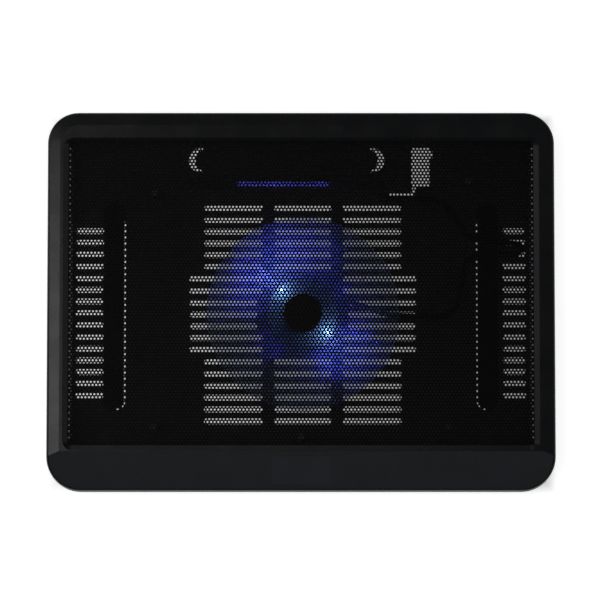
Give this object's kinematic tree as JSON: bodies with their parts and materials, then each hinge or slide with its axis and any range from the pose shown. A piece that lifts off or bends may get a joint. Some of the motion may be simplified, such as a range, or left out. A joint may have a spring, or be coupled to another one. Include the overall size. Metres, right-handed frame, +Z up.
{
  "type": "laptop cooling pad",
  "caption": "Slim black laptop cooling stand: a rounded tray under a perforated steel top, a wide clear LED-lit fan, rubber runners and a fold-out rear foot.",
  "frame": {"origin": "on the table below the middle of the footprint", "axes": "+X to the user's right, +Y to the rear, +Z up"},
  "size_m": [0.34, 0.254, 0.025],
  "materials": {
    "frame_black": "satin moulded black ABS",
    "badge_black": "smooth blank plate",
    "mesh_paint": "black powder-coated perforated steel",
    "tray_black": "fine spark texture",
    "rail_grey": "light grey moulded strip",
    "screw_steel": "black oxide",
    "runner_rubber": "soft matte rubber",
    "foot_black": "fine spark texture",
    "pad_rubber": "soft matte rubber",
    "pin_steel": "drawn steel",
    "motor_base_black": "moulded",
    "motor_screw_steel": "zinc plated",
    "bearing_bronze": "sintered bronze",
    "shaft_steel": "ground",
    "board_green": "solder mask",
    "connector_white": "moulded",
    "led_blue": "diffused blue epoxy, lit",
    "core_steel": "stacked laminations",
    "coil_copper": "enamelled wire",
    "cup_black": "painted",
    "magnet_grey": "bonded ferrite",
    "impeller_clear": "clear polystyrene",
    "label_black": "matte film",
    "lead_black": "flat twin PVC",
    "gland_black": "moulded rubber"
  },
  "bodies": {
    "base": {"top_frame": "frame_black", "front_badge": "badge_black", "mesh_panel": "mesh_paint", "bottom_tray": "tray_black", "foot_bracket": "tray_black", "side_rails": "rail_grey", "panel_posts": "tray_black", "case_screws": "screw_steel", "runner_left": "runner_rubber", "runner_right": "runner_rubber", "motor_base": "motor_base_black", "motor_screws": "motor_screw_steel", "bearing_sleeve": "bearing_bronze", "motor_board": "board_green", "lead_connector": "connector_white", "led_lamps": "led_blue", "stator_core": "core_steel", "stator_coils": "coil_copper", "fan_lead": "lead_black", "cable_gland": "gland_black"},
    "fan": {"fan_impeller": "impeller_clear", "rotor_cup": "cup_black", "rotor_magnet": "magnet_grey", "motor_shaft": "shaft_steel", "hub_label": "label_black"},
    "foot": {"rear_foot": "foot_black", "rear_foot_pad": "pad_rubber", "foot_hinge_pins": "pin_steel"}
  },
  "joints": [
    {"name": "fan_spin", "type": "hinge", "parent": "base", "child": "fan", "pos_m": [0.0012, -0.008, 0.015], "axis": [0, 0, 1], "continuous": true},
    {"name": "rear_foot_fold", "type": "hinge", "parent": "base", "child": "foot", "pos_m": [-0.0097, 0.1011, 0.0059], "axis": [1, 0, 0], "range_deg": [0, 90]}
  ]
}
